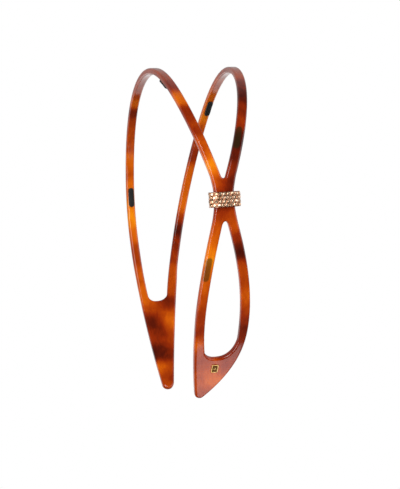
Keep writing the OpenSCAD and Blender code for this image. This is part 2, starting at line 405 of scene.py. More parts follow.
@dataclass(frozen=True)
class BandPattern:
    """The sheet as it is cut flat, and the curve that it is bent to. Sizes in millimetres.

    s is the length along the sheet's middle from the top of the crown, positive on the ring
    side, and y is the place across the band.
    """

    thickness: float = 2.7
    strand_w: float = 4.1
    crown_half_angle: float = math.radians(102.5)
    leg_r: float = 216.0
    far_tip: Tip = Tip(186.5, 2.9, 0.8, math.radians(13))
    near_tip: Tip = Tip(185.3, 2.4, -0.8, math.radians(45))
    long_opening_end: float = 139.7
    long_opening_round: float = 130.0
    upper_notch: float = 88.6
    lower_notch: float = 105.9
    notch_r: float = 1.0
    waist_fillet: float = 7.5
    loop_end: float = 165.6
    loop_round: float = 150.0
    straight: Strand = Strand(-147, 90, (6.5, -2.5, -2.5, -2, -4, -5.5, -6, 3.5, 16.5))
    bowed: Strand = Strand(-147, 90, (8.5, 7.5, 23, 35, 34.5, 27, 9.5, -11.5))
    loop_front: Strand = Strand(95, 169, (19, 5.5, -3, -5, 14))
    loop_rear: Strand = Strand(95, 169, (-6, 6.5, 17, 16, 6.5))
    ease_l: float = 6.0

    @property
    def crown_r(self) -> float:
        """Radius of the crown at the middle of the sheet, from the frame's highest point."""
        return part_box("band_far_half")[1].z / MM - self.thickness / 2

    def _joined(self, s: Array, upper: Strand, lower: Strand) -> Array:
        """A strand's line above the crossing, eased straight into its line below it."""
        s = np.asarray(s, float)
        f = np.clip((s - upper.last) / (lower.first - upper.last), 0, 1)
        above = upper.at(np.minimum(s, upper.last))
        below = lower.at(np.maximum(s, lower.first))
        return above + (below - above) * f

    def front_line(self, s: Array) -> Array:
        """The straight strand, which runs on as the loop's rear side."""
        return self._joined(s, self.straight, self.loop_rear)

    def rear_line(self, s: Array) -> Array:
        """The bowed strand, which runs on as the loop's front side."""
        return self._joined(s, self.bowed, self.loop_front)

    def half_width(self, line: Callable[[Array], Array], s: Array) -> Array:
        """Half of a strand's width, measured straight across the band at s."""
        slope = (line(s + 1) - line(s - 1)) / 2
        return self.strand_w / 2 * np.hypot(1, slope)

    @staticmethod
    def round_cap(d: Array, radius: float, lean: float = 0.0) -> Array:
        """Half width of a round end, d short of it, and no limit above where an edge meets it."""
        return np.where(d < radius * (1 - math.sin(lean)), np.sqrt(np.maximum(0, d * (2 * radius - d))), 1e3)

    def _filleted_max(self, a: Array, b: Array) -> Array:
        """The greater of two values, with a fillet where they come close."""
        reach = self.waist_fillet
        return np.maximum(a, b) + np.maximum(0, reach - np.abs(a - b)) ** 2 / reach / 4

    def _plate(self, s: Array, strand: Array, far: Array, near: Array, starts: tuple[float, float]) -> Array:
        """Eases a strand's edge into the edges of the two end plates."""
        to_far = ease((-s - starts[0] + self.ease_l) / self.ease_l / 2)
        to_near = ease((s - starts[1] + self.ease_l) / self.ease_l / 2)
        return strand + (far - strand) * to_far + (near - strand) * to_near

    def low_edge(self, s: Array) -> Array:
        """The band's outer edge on the straight strand's side."""
        strand = -self._filleted_max(self.half_width(self.front_line, s) - self.front_line(s),
                                     self.half_width(self.rear_line, s) - self.rear_line(s))
        far = -4.4 + 2.3 * (np.maximum(0, -s - 121) / 60) ** 1.3
        near = -5.5 + 2.7 * (np.maximum(0, s - 153) / 32.6) ** 2
        edge = self._plate(s, strand, far, near, (121, 153))
        cap = np.where(s < 0, self.far_tip.y - self.round_cap(self.far_tip.s + s, self.far_tip.radius),
                       self.near_tip.y - self.round_cap(self.near_tip.s - s, self.near_tip.radius))
        return np.maximum(edge, cap)

    def high_edge(self, s: Array) -> Array:
        """The band's outer edge on the bowed strand's side."""
        strand = self._filleted_max(self.front_line(s) + self.half_width(self.front_line, s),
                                    self.rear_line(s) + self.half_width(self.rear_line, s))
        far = 17.6 - 0.232 * (-s - 124.5)
        near = 18 - 10.1 * (np.maximum(0, s - 147) / 30) ** 2.36
        edge = self._plate(s, strand, far, near, (124.5, 147))
        far_cap = self.round_cap(self.far_tip.s + s, self.far_tip.radius, self.far_tip.lean)
        near_cap = self.round_cap(self.near_tip.s - s, self.near_tip.radius, self.near_tip.lean)
        cap = np.where(s < 0, self.far_tip.y + far_cap, self.near_tip.y + near_cap)
        return np.minimum(edge, cap)

    @staticmethod
    def _blunt(f: Array, width: float) -> Array:
        """Half gap of an opening's flattened round end, f of the way along it."""
        return np.where(f <= 0, 1e3, width * np.maximum(0, 1 - np.clip(f, 0, 1) ** 3) ** 0.4)

    def long_opening(self, s: Array) -> tuple[Array, Array]:
        """The two sides of the opening between the strands."""
        low = self.front_line(s) + self.half_width(self.front_line, s)
        high = self.rear_line(s) - self.half_width(self.rear_line, s)
        f = (-s - self.long_opening_round) / (self.long_opening_end - self.long_opening_round)
        middle = np.where(f > 0, 5.8 - 1.5 * f * f, (low + high) / 2)
        gap = np.minimum(self._blunt(f, 5.9), self.round_cap(self.upper_notch - s, self.notch_r))
        return np.maximum(low, middle - gap), np.minimum(high, middle + gap)

    def loop_opening(self, s: Array) -> tuple[Array, Array]:
        """The two sides of the opening in the loop below the ring."""
        low = self.rear_line(s) + self.half_width(self.rear_line, s)
        high = self.front_line(s) - self.half_width(self.front_line, s)
        f = (s - self.loop_round) / (self.loop_end - self.loop_round)
        middle = np.where(f > 0, 6.25 - 1.1 * f * f, (low + high) / 2)
        gap = np.minimum(self._blunt(f, 8.2), self.round_cap(s - self.lower_notch, self.notch_r))
        return np.maximum(low, middle - gap), np.minimum(high, middle + gap)

    def turn(self, s: Array) -> Array:
        """Angle that the sheet has turned through at s, from the top of the crown."""
        a = np.abs(np.asarray(s, float))
        bend = self.crown_r * self.crown_half_angle
        return np.where(a <= bend, a / self.crown_r, self.crown_half_angle + (a - bend) / self.leg_r)

    def place(self, s: Array, y: Array, out: Array | float) -> Array:
        """Bends points of the flat sheet on to the band's curve.

        Args:
            s: lengths along the sheet.
            y: places across it.
            out: distances outwards from the middle of the sheet.

        Returns:
            Points in the row frame, in metres, one per row.
        """
        turn = self.turn(s)
        base = np.minimum(turn, self.crown_half_angle)
        reach = np.where(turn > self.crown_half_angle, self.leg_r, 0.0)
        half = self.crown_half_angle
        x = self.crown_r * np.sin(base) + reach * (np.sin(turn) - math.sin(half)) + out * np.sin(turn)
        z = self.crown_r * np.cos(base) + reach * (np.cos(turn) - math.cos(half)) + out * np.cos(turn)
        across = np.broadcast_to(np.asarray(y, float), x.shape)
        return np.stack([np.sign(s) * x, across, z], axis=-1) * MM

    def face(self, side: Side, gap: float) -> float:
        """Distance from the sheet's middle to a place held off one of its faces by a gap."""
        return side.value * (self.thickness / 2 + gap)

    def seat(self, s: float, y: float, out: float) -> Matrix:
        """Axes for something that sits on the sheet.

        Args:
            s: length along the sheet.
            y: place across it.
            out: distance outwards from its middle.

        Returns:
            A matrix whose X points out of the band, Y across it and Z up along it.
        """
        turn = float(self.turn(np.array(s)))
        side = math.copysign(1.0, s)
        away = Vector((side * math.sin(turn), 0.0, math.cos(turn)))
        across = Vector((0.0, side, 0.0))
        up = away.cross(across)
        rows = Matrix((away, across, up)).transposed().to_4x4()
        place = self.place(np.array([s]), np.array([y]), out)[0]
        return Matrix.Translation(Vector(place)) @ rows


PATTERN = BandPattern()


# --------------------------------------------------------------------------- mesh helpers


def unit(vectors: Array) -> Array:
    """Scales rows of vectors to length one."""
    return vectors / np.maximum(np.linalg.norm(vectors, axis=-1, keepdims=True), 1e-12)


def rounded_polygon(corners: Sequence[tuple[float, float, float]], step: float = 0.25) -> Array:
    """Closed outline with an arc at each corner.

    Args:
        corners: x, y and radius of each corner, counter-clockwise.
        step: longest distance between points on its straight stretches.

    Returns:
        Points of the outline, one per row.
    """
    spots = np.array([corner[:2] for corner in corners], float)
    arcs = []
    for i, (_, _, radius) in enumerate(corners):
        here = spots[i]
        before = unit(spots[i - 1] - here)
        after = unit(spots[(i + 1) % len(spots)] - here)
        half = math.acos(float(np.clip(before @ after, -1, 1))) / 2
        if radius <= 0:
            arcs.append(here[None, :])
            continue
        centre = here + unit(before + after) * radius / math.sin(half)
        first = here + before * radius / math.tan(half) - centre
        last = here + after * radius / math.tan(half) - centre
        start = math.atan2(first[1], first[0])
        sweep = (math.atan2(last[1], last[0]) - start + math.pi) % (2 * math.pi) - math.pi
        turns = start + sweep * np.linspace(0, 1, 9)
        arcs.append(centre + radius * np.stack([np.cos(turns), np.sin(turns)], axis=1))
    points = []
    for i, arc in enumerate(arcs):
        points.append(arc)
        gap = arcs[(i + 1) % len(arcs)][0] - arc[-1]
        pieces = int(np.linalg.norm(gap) / step)
        if pieces > 1:
            points.append(arc[-1] + gap * (np.arange(1, pieces) / pieces)[:, None])
    joined = np.concatenate(points)
    kept = np.linalg.norm(joined - np.roll(joined, 1, axis=0), axis=1) > 0.01
    return joined[kept]


def inset(loop: Array, distance: float) -> Array:
    """Moves a closed outline to its left.

    Args:
        loop: its points.
        distance: how far.

    Returns:
        The moved points, one for each point of loop.
    """
    edges = unit(np.roll(loop, -1, axis=0) - loop)
    left = np.stack([-edges[:, 1], edges[:, 0]], axis=1)
    both = unit(left + np.roll(left, 1, axis=0))
    stretch = 1 / np.maximum(0.5, np.sum(both * left, axis=1))
    return loop + both * (distance * stretch)[:, None]


def inside(points: Array, loops: Sequence[Array]) -> Array:
    """Tells which points lie inside a region.

    Args:
        points: the points.
        loops: its outline and its holes.

    Returns:
        True for each point inside.
    """
    odd = np.zeros(len(points), bool)
    for loop in loops:
        after = np.roll(loop, -1, axis=0)
        for (x0, y0), (x1, y1) in zip(loop, after):
            if y0 == y1:
                continue
            crossed = (points[:, 1] >= min(y0, y1)) & (points[:, 1] < max(y0, y1))
            odd ^= crossed & (points[:, 0] < x0 + (points[:, 1] - y0) * (x1 - x0) / (y1 - y0))
    return odd


def clear_of(points: Array, loops: Sequence[Array], distance: float) -> Array:
    """Tells which points are at least a distance from every outline point."""
    rim = np.concatenate(loops)
    nearest = np.empty(len(points))
    for first in range(0, len(points), 500):
        part = points[first:first + 500]
        nearest[first:first + 500] = np.min(
            np.linalg.norm(part[:, None, :] - rim[None, :, :], axis=2), axis=1)
    return nearest > distance


@dataclass(frozen=True)
class Slab:
    """Sheet of even thickness with rounded edges, described flat and then put in its place.

    Sizes are in millimetres. The outline runs counter-clockwise, and its holes clockwise.
    """

    loops: tuple[Array, ...]
    low: float
    high: float
    edge: float
    grid: float = 1.0
    arc_steps: int = 5
    land: float = 0.12

    def levels(self) -> list[tuple[float, float]]:
        """Inset and height of each ring of points, from the underside's rim to the top's."""
        turns = np.linspace(0, math.pi / 2, self.arc_steps + 1)
        arc = [(self.edge * (1 - math.sin(a)), self.edge * (1 - math.cos(a))) for a in turns]
        under = [(self.edge + self.land, self.low)] + [(d, self.low + h) for d, h in arc]
        over = [(d, self.high - h) for d, h in reversed(arc)] + [(self.edge + self.land, self.high)]
        return under + over

    def flat(self) -> Shape:
        """Makes the slab in its flat coordinates.

        Returns:
            Points as along, across and height, and the faces.
        """
        levels = self.levels()
        points: list[Array] = []
        faces: list[tuple[int, ...]] = []
        rims: tuple[list[int], list[int]] = ([], [])
        start = 0
        for loop in self.loops:
            n = len(loop)
            for distance, height in levels:
                ring = inset(loop, distance)
                points.append(np.column_stack([ring, np.full(n, height)]))
            for k in range(len(levels) - 1):
                low, high = start + k * n, start + (k + 1) * n
                for i in range(n):
                    j = (i + 1) % n
                    faces.append((low + i, low + j, high + j, high + i))
            rims[0].extend(range(start, start + n))
            rims[1].extend(range(start + (len(levels) - 1) * n, start + len(levels) * n))
            start += n * len(levels)
        rings = [inset(loop, levels[0][0]) for loop in self.loops]
        spots = self._grid_points(rings)
        corners = np.concatenate(rings + [spots])
        edges = []
        first = 0
        for ring in rings:
            n = len(ring)
            edges += [(first + i, first + (i + 1) % n) for i in range(n)]
            first += n
        made = delaunay_2d_cdt([Vector(p) for p in corners], edges, [], 0, 1e-7, True)
        verts, tris, origins = made[0], made[2], made[3]
        if len(verts) != len(corners):
            raise ValueError("an outline crosses itself")
        source = [origin[0] for origin in origins]
        centres = np.array([np.mean([verts[i] for i in tri], axis=0) for tri in tris])
        kept = inside(centres, rings)
        for heights, rim, turned in ((self.low, rims[0], True), (self.high, rims[1], False)):
            points.append(np.column_stack([spots, np.full(len(spots), heights)]))
            index = list(rim) + list(range(start, start + len(spots)))
            start += len(spots)
            for tri, real in zip(tris, kept):
                if real:
                    face = [index[source[i]] for i in tri]
                    faces.append(tuple(reversed(face)) if turned else tuple(face))
        return np.concatenate(points), faces

    def _grid_points(self, rings: Sequence[Array]) -> Array:
        """Even points well inside the rims, for the faces' inner triangles."""
        low, high = np.concatenate(rings).min(0), np.concatenate(rings).max(0)
        rise = self.grid * math.sqrt(3) / 2
        rows = []
        for k, y in enumerate(np.arange(low[1], high[1], rise)):
            x = np.arange(low[0] + (k % 2) * self.grid / 2, high[0], self.grid)
            rows.append(np.column_stack([x, np.full(len(x), y)]))
        spots = np.concatenate(rows)
        spots = spots[inside(spots, rings)]
        if not len(spots):
            return spots
        return spots[clear_of(spots, rings, self.grid * 0.6)]


def mesh_piece(name: str, points: Array, faces: Sequence[Sequence[int]],
               smooth: bool = True) -> bpy.types.Object:
    """Makes an object from points in metres.

    Args:
        name: the object's name.
        points: its points.
        faces: its faces.
        smooth: whether it is shaded smooth.

    Returns:
        The new object, in the scene.
    """
    mesh = bpy.data.meshes.new(name)
    mesh.from_pydata([tuple(p) for p in points], [], [tuple(f) for f in faces])
    mesh.validate()
    mesh.polygons.foreach_set("use_smooth", [smooth] * len(mesh.polygons))
    mesh.update()
    piece = bpy.data.objects.new(name, mesh)
    bpy.context.scene.collection.objects.link(piece)
    return piece


def put(matrix: Matrix, points: Array) -> Array:
    """Moves points from millimetres in a seat's own axes to metres in the row frame."""
    turn = np.array(matrix.to_3x3())
    return points @ turn.T * MM + np.array(matrix.translation)


@dataclass
class Batch:
    """Points and faces of many like shapes, gathered into one piece."""

    points: list[Array] = field(default_factory=list)
    faces: list[tuple[int, ...]] = field(default_factory=list)
    count: int = 0

    def add(self, points: Array, faces: Iterable[Sequence[int]]) -> None:
        """Adds one shape.

        Args:
            points: its points.
            faces: its faces.
        """
        self.points.append(points)
        self.faces += [tuple(i + self.count for i in face) for face in faces]
        self.count += len(points)

    def piece(self, name: str, smooth: bool = True) -> bpy.types.Object:
        """Makes the object that holds them all."""
        return mesh_piece(name, np.concatenate(self.points), self.faces, smooth)


def turned_shape(profile: Sequence[tuple[float, float]], sides: int, closed: bool) -> Shape:
    """Turns a profile round the Z axis.

    Args:
        profile: radius and height of each point.
        sides: number of steps round.
        closed: whether the profile joins its own start, as a ring's does.

    Returns:
        The points and the faces, with the two ends filled when it isn't closed.
    """
    turns = np.arange(sides) / sides * 2 * math.pi
    points = np.concatenate([np.column_stack([r * np.cos(turns), r * np.sin(turns), np.full(sides, h)])
                             for r, h in profile])
    faces: list[tuple[int, ...]] = []
    rings = len(profile)
    for k in range(rings if closed else rings - 1):
        low, high = k * sides, (k + 1) % rings * sides
        for i in range(sides):
            j = (i + 1) % sides
            faces.append((low + i, low + j, high + j, high + i))
    if not closed:
        faces.append(tuple(reversed(range(sides))))
        faces.append(tuple(range((rings - 1) * sides, rings * sides)))
    return points, faces


# --------------------------------------------------------------------------- finishes


@dataclass(frozen=True)
class Tortoiseshell:
    """Polished acetate sheet with clouded patches from amber to near black."""

    roughness: float = 0.1
    cloud_scale: float = 130.0
    wisp_scale: float = 420.0
    cloud_depth: float = 0.34
    wisp_depth: float = 0.16
    pad_dim: Colour = (0.24, 0.32, 0.3)
    pad_tint: Colour = (0.012, 0.011, 0.003)
    near_shift: tuple[float, float] = (0.7, -0.6)
    stops: tuple[tuple[float, Colour], ...] = (
        (0.0, (0.028, 0.003, 0.002)), (0.2, (0.11, 0.008, 0.001)), (0.4, (0.27, 0.022, 0.001)),
        (0.6, (0.46, 0.06, 0.001)), (0.8, (0.68, 0.13, 0.002)), (1.0, (0.86, 0.26, 0.003)))

    def make(self, shadows: Sequence["PadPlace"], pad_l: float, pad_w: float) -> bpy.types.Material:
        """Makes the material.

        Args:
            shadows: pads that show dark through the sheet.
            pad_l: a pad's length.
            pad_w: a pad's width.

        Returns:
            The material.
        """
        finish = Finish("tortoiseshell_acetate", Roughness=self.roughness, IOR=1.48)
        graph = finish.graph
        sheet = graph.attribute("sheet", "Vector")
        tone = graph.attribute("mottle", "Fac")
        cloud = graph.noise(graph.scaled(sheet, (1.0, 1.3, 2.0)), self.cloud_scale, detail=3.0,
                            distortion=1.2)
        wisp = graph.noise(graph.scaled(sheet, (0.45, 1.6, 3.0)), self.wisp_scale, distortion=0.8)
        for value, depth in ((cloud, self.cloud_depth), (wisp, self.wisp_depth)):
            tone = graph.math("MULTIPLY_ADD", graph.math("SUBTRACT", value, 0.5), depth, tone)
        colour = graph.ramp(tone, self.stops)
        for shadow in shadows:
            node = graph.add("Group", node_tree=pad_shadow_group())
            graph.feed(node.inputs["Sheet"], sheet)
            along, across = self.near_shift if shadow.s > 0 else (0.0, 0.0)
            for label, value in (("Along", (shadow.s + along) * MM), ("Across", (shadow.y + across) * MM),
                                 ("Slope", shadow.slope), ("Length", pad_l * MM), ("Width", pad_w * MM),
                                 ("Shade", shadow.shade)):
                graph.feed(node.inputs[label], value)
            dim = graph.add("VectorMath", operation="MULTIPLY_ADD")
            for socket, value in zip(dim.inputs, (colour, self.pad_dim, self.pad_tint)):
                graph.feed(socket, value)
            colour = graph.mix(node.outputs["Mask"], colour, dim.outputs[0])
        finish.drive("Base Color", colour)
        finish.bump(finish.wear(sheet, 1.0, 0.05, self.roughness), 0.000004, 0.12)
        return finish.material


def pad_shadow_group() -> bpy.types.NodeTree:
    """Soft mask with a grip pad's outline, read in the sheet's flat coordinates.

    Returns:
        The group, with output Mask.
    """

    def build(graph: Graph, source: bpy.types.Node, sink: bpy.types.Node) -> None:
        """Adds the group's nodes."""
        split = graph.add("SeparateXYZ")
        graph.feed(split.inputs[0], source.outputs["Sheet"])
        along = graph.math("SUBTRACT", split.outputs[0], source.outputs["Along"])
        across = graph.math("SUBTRACT", split.outputs[1], source.outputs["Across"])
        across = graph.math("SUBTRACT", across, graph.math("MULTIPLY", along, source.outputs["Slope"]))
        straight = graph.math("MULTIPLY", graph.math("SUBTRACT", source.outputs["Length"],
                                                     source.outputs["Width"]), 0.5)
        past = graph.math("MAXIMUM", graph.math("SUBTRACT", graph.math("ABSOLUTE", along), straight), 0.0)
        away = graph.math("SQRT", graph.math("ADD", graph.math("MULTIPLY", past, past),
                                             graph.math("MULTIPLY", across, across)))
        rim = graph.math("SUBTRACT", away, graph.math("MULTIPLY", source.outputs["Width"], 0.5))
        mask = graph.between(rim, -0.0004, 0.0003, 1.0, 0.0)
        graph.feed(sink.inputs["Mask"], graph.math("MULTIPLY", mask, source.outputs["Shade"]))

    return shared_group("pad_shadow", {"Sheet": None, "Along": 0.0, "Across": 0.0, "Slope": 0.0,
                                       "Length": 0.01, "Width": 0.003, "Shade": 1.0},
                        (("Mask", "NodeSocketFloat"),), build)


@dataclass(frozen=True)
class Metal:
    """Plated metal whose tone wanders at random between a bright colour and a deeper one."""

    name: str
    bright: Colour
    deep: Colour
    roughness: float = 0.22

    def make(self) -> bpy.types.Material:
        """Makes the material."""
        finish = Finish(self.name, Metallic=1.0, Roughness=self.roughness)
        graph = finish.graph
        place = graph.add("TexCoord").outputs["Object"]
        tint = graph.between(graph.noise(place, 900.0, detail=2.0), 0.3, 0.7)
        finish.drive("Base Color", graph.mix(tint, self.deep, self.bright))
        finish.bump(finish.wear(place, 1.0, 0.15, self.roughness), 0.00001, 0.2)
        return finish.material


@dataclass(frozen=True)
class Rhinestone:
    """Foil-backed cut crystal, which throws light back in warm tints that change stone by stone."""

    pale: Colour = (0.72, 0.52, 0.36)
    warm: Colour = (0.50, 0.27, 0.13)
    stone_scale: float = 520.0

    def make(self) -> bpy.types.Material:
        """Makes the material."""
        finish = Finish("champagne_crystal", Metallic=0.75, Roughness=0.06, IOR=1.55, Coat_Weight=1.0,
                        Coat_Roughness=0.02)
        graph = finish.graph
        place = graph.add("TexCoord").outputs["Object"]
        tint = graph.between(graph.noise(place, self.stone_scale, detail=1.0), 0.38, 0.62)
        finish.drive("Base Color", graph.mix(tint, self.pale, self.warm))
        finish.wear(place, 0.4, 0.04, 0.06)
        return finish.material


@dataclass(frozen=True)
class PadRubber:
    """Matt silicone of the grip pads, with a fine moulded grain."""

    colour: Colour = (0.006, 0.006, 0.006)
    dust: Colour = (0.016, 0.015, 0.014)

    def make(self) -> bpy.types.Material:
        """Makes the material."""
        finish = Finish("pad_rubber", Roughness=0.55, Specular_IOR_Level=0.3)
        graph = finish.graph
        place = graph.add("TexCoord").outputs["Object"]
        dusty = graph.between(graph.noise(place, 1400.0, detail=3.0), 0.55, 0.8)
        finish.drive("Base Color", graph.mix(dusty, self.colour, self.dust))
        finish.wear(place, 0.6, 0.2, 0.5)
        finish.bump(graph.noise(place, 6000.0, detail=1.0), 0.00002, 0.4)
        return finish.material


@dataclass(frozen=True)
class ClearGlue:
    """Set glue, slightly yellow."""

    colour: Colour = (0.78, 0.66, 0.40)

    def make(self) -> bpy.types.Material:
        """Makes the material."""
        finish = Finish("clear_glue", Roughness=0.3, Coat_Weight=0.3)
        graph = finish.graph
        place = graph.add("TexCoord").outputs["Object"]
        cloudy = graph.noise(place, 1500.0, detail=2.0)
        finish.drive("Base Color", graph.mix(cloudy, self.colour, (0.9, 0.82, 0.6)))
        finish.wear(place, 0.5, 0.2, 0.25)
        return finish.material


def dress(piece: bpy.types.Object, material: bpy.types.Material) -> None:
    """Gives a new piece its material.

    Args:
        piece: the piece.
        material: its material.
    """
    piece.data.materials.clear()
    piece.data.materials.append(material)
    log.info("dressed %s in %s", piece.name, material.name)


# --------------------------------------------------------------------------- the band


@dataclass(frozen=True)
class Clouds:
    """Light and dark patches: how bright the sheet is here and there along it.

    Each strand's patches are lengths along the sheet with a tone from 0, near black, to 1,
    bright amber. The end plates' patches also say where they are across the band.
    """

    front: tuple[tuple[float, float], ...] = (
        (-145, 0.5), (-139, 0.75), (-127, 0.65), (-115, 0.5), (-103, 0.7), (-97, 1.0), (-90, 0.85),
        (-79, 0.8), (-73, 0.6), (-67, 0.8), (-55, 0.6), (-43, 0.55), (-37, 0.25), (-30, 0.8), (-24, 0.55),
        (-12, 0.5), (6, 0.5), (20, 0.45), (32, 0.5), (42, 0.35), (50, 0.8), (60, 0.38), (66, 0.45),
        (76, 0.62), (84, 0.95), (90, 0.6))
    rear: tuple[tuple[float, float], ...] = (
        (-145, 0.45), (-133, 0.55), (-127, 0.62), (-115, 0.42), (-109, 0.32), (-103, 0.1), (-97, 0.45),
        (-91, 0.78), (-85, 0.72), (-73, 0.7), (-64, 0.35), (-55, 0.52), (-49, 0.6), (-43, 0.85), (-34, 0.8),
        (-25, 0.75), (-13, 0.6), (0, 0.5), (12, 0.45), (24, 0.5), (33, 0.55), (42, 0.3), (50, 0.15),
        (57, 0.3), (66, 0.4), (72, 0.05), (80, 0.2), (86, 0.35), (91, 0.15))
    loop_front: tuple[tuple[float, float], ...] = (
        (98, 0.2), (103, 0.4), (108, 0.65), (114, 0.75), (120, 0.9), (128, 0.75), (134, 0.65), (141, 0.5),
        (148, 0.48), (153, 0.35), (158, 0.7), (163, 0.4))
    loop_rear: tuple[tuple[float, float], ...] = (
        (98, 0.3), (102, 0.5), (107, 0.65), (113, 0.35), (118, 0.08), (125, 0.5), (131, 0.5), (138, 0.64),
        (145, 0.5), (150, 0.25), (156, 0.3), (162, 0.3))
    far_plate: tuple[tuple[float, float, float], ...] = (
        (-143, 9, 0.22), (-145, 3, 0.5), (-150, 0.5, 0.12), (-150, 4, 0.45), (-149, 9, 0.85),
        (-151, 12, 0.75), (-154, 1, 0.28), (-154, 8, 0.85), (-156, 4.5, 0.15), (-158, 9, 0.55),
        (-160, -2, 0.45), (-161, 3, 0.4), (-163, 7, 0.5), (-166, -1, 0.0), (-166, 2, 0.12),
        (-165, 6, 0.4), (-169.5, 0, 0.12), (-169.5, 4, 0.25), (-175, 0, 0.85), (-176, -1, 0.85),
        (-175, 4.5, 0.5), (-180, 0.5, 0.4), (-180, 3, 0.35), (-184, 1, 0.55))
    near_plate: tuple[tuple[float, float, float], ...] = (
        (167, -2, 0.4), (168, 3, 0.6), (168, 8, 0.3), (168, 13, 0.5), (172, -1, 0.5), (172, 4, 0.6),
        (172, 9, 0.45), (176, -1, 0.55), (176, 3, 0.85), (177, 7, 0.75), (181, -1, 0.5), (181, 3, 0.45),
        (184, 0, 0.4))
    spread: float = 2.7

    def tone(self, pattern: BandPattern, s: Array, y: Array) -> Array:
        """Brightness of the sheet, blended between its patches.

        Args:
            pattern: the flat pattern, for the strands' lines.
            s: lengths along the sheet.
            y: places across it.

        Returns:
            The tones.
        """
        spots = list(self.far_plate) + list(self.near_plate)
        for patches, line in ((self.front, pattern.front_line), (self.rear, pattern.rear_line),
                              (self.loop_front, pattern.rear_line), (self.loop_rear, pattern.front_line)):
            spots += [(a, float(line(np.array(a))), tone) for a, tone in patches]
        total = np.full(s.shape, 1e-9)
        tones = total * 0.5
        for a, b, tone in spots:
            weight = np.exp(-((s - a) ** 2 + (y - b) ** 2) / (2 * self.spread**2))
            total += weight
            tones += weight * tone
        return tones / total


@dataclass(frozen=True)
class BandSheet:
    """The one bent sheet that both arms are cut from, with its two openings."""

    pattern: BandPattern = PATTERN
    clouds: Clouds = Clouds()
    edge: float = 0.9
    soften: float = 0.3
    fine: float = 0.05
    closest: float = 0.2
    widest: float = 0.9
    flex_half_span: float = 0.0265

    def _run(self, start: float, stop: float) -> Array:
        """Lengths along the sheet, crowded together at both ends, where the outline turns across.

        Args:
            start: first length.
            stop: last length.

        Returns:
            The lengths.
        """
        count = int(abs(stop - start) / self.fine)
        even = start + (stop - start) * np.linspace(0, 1, count)
        crowd = self.fine * np.linspace(0, 1, 12)[1:-1] ** 3
        toward = math.copysign(1.0, stop - start)
        return np.sort(np.concatenate([even, start + toward * crowd, stop - toward * crowd]))

    def _even_out(self, loop: Array) -> Array:
        """Softens an outline's small corners and spaces its points by how much it bends.

        Args:
            loop: many points of a closed outline.

        Returns:
            Fewer points on nearly the same outline.
        """
        def lengths(points: Array) -> Array:
            """Length of each side of the closed outline."""
            return np.linalg.norm(np.roll(points, -1, axis=0) - points, axis=1)

        sides = lengths(loop)
        along = np.concatenate([[0], np.cumsum(sides)])
        total = along[-1]
        count = int(total / self.fine)
        at = np.arange(count) * total / count
        closed = np.vstack([loop, loop[:1]])
        even = np.column_stack([np.interp(at, along, closed[:, k]) for k in (0, 1)])
        reach = int(4 * self.soften / self.fine)
        kernel = np.exp(-0.5 * (np.arange(-reach, reach + 1) * self.fine / self.soften) ** 2)
        kernel /= kernel.sum()
        padded = np.concatenate([even[-reach:], even, even[:reach]])
        soft = np.column_stack([np.convolve(padded[:, k], kernel, "valid") for k in (0, 1)])
        ahead, turn_per_point = 6, 0.22
        first = unit(np.roll(soft, -ahead, axis=0) - soft)
        second = unit(soft - np.roll(soft, ahead, axis=0))
        bend = np.arccos(np.clip(np.sum(first * second, axis=1), -1, 1)) / (ahead * self.fine)
        spacing = np.clip(turn_per_point / np.maximum(bend, 1e-6), self.closest, self.widest)
        wide = int(self.widest / self.fine)
        around = np.concatenate([spacing[-wide:], spacing, spacing[:wide]])
        spacing = np.array([around[i:i + 2 * wide + 1].min() for i in range(len(spacing))])
        density = np.concatenate([[0], np.cumsum(self.fine / spacing)])
        number = int(round(density[-1]))
        places = np.interp(np.arange(number) / number * density[-1], density, np.arange(len(density)))
        closed = np.vstack([soft, soft[:1]])
        return np.column_stack([np.interp(places, np.arange(len(closed)), closed[:, k]) for k in (0, 1)])

    def loops(self) -> tuple[Array, ...]:
        """Outline of the sheet and of its two openings, cut flat."""
        p = self.pattern
        s = self._run(-p.far_tip.s, p.near_tip.s)
        outer = np.concatenate([np.column_stack([s, p.low_edge(s)]),
                                np.column_stack([s, p.high_edge(s)])[::-1]])
        found = [self._even_out(outer)]
        for sides, start, stop in ((p.long_opening, -p.long_opening_end, p.upper_notch),
                                   (p.loop_opening, p.lower_notch, p.loop_end)):
            s = self._run(start, stop)
            low, high = sides(s)
            hole = np.concatenate([np.column_stack([s, low]), np.column_stack([s, high])[::-1]])
            found.append(self._even_out(hole)[::-1])
        return tuple(found)

    def build(self) -> bpy.types.Object:
        """Builds the sheet as one mesh that bends between the arms.

        Returns:
            The sheet.
        """
        p = self.pattern
        slab = Slab(self.loops(), -p.thickness / 2, p.thickness / 2, self.edge, grid=1.1)
        flat, faces = slab.flat()
        s, y, out = flat.T
        sheet = mesh_piece("band_sheet", p.place(s, y, out), faces)
        places = sheet.data.attributes.new("sheet", "FLOAT_VECTOR", "POINT")
        places.data.foreach_set("vector", (flat * MM).astype(np.float32).ravel())
        mottle = sheet.data.attributes.new("mottle", "FLOAT", "POINT")
        mottle.data.foreach_set("value", self.clouds.tone(p, s, y).astype(np.float32))
        log.info("built band_sheet with %d faces", len(faces))
        return sheet

    def join(self, sheet: bpy.types.Object) -> None:
        """Bakes the sheet's placement and lets it stand for both CAD halves, which it hides."""
        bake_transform(sheet)
        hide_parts("band_far_half", "band_near_half")


# --------------------------------------------------------------------------- grip pads


@dataclass(frozen=True)
class PadPlace:
    """Where a grip pad is stuck: its CAD node, its body, its place on the sheet and its slope.

    Shade is how dark it looks through the sheet, from 0 to 1.
    """

    node: str
    body: str
    s: float
    y: float
    slope: float
    shade: float


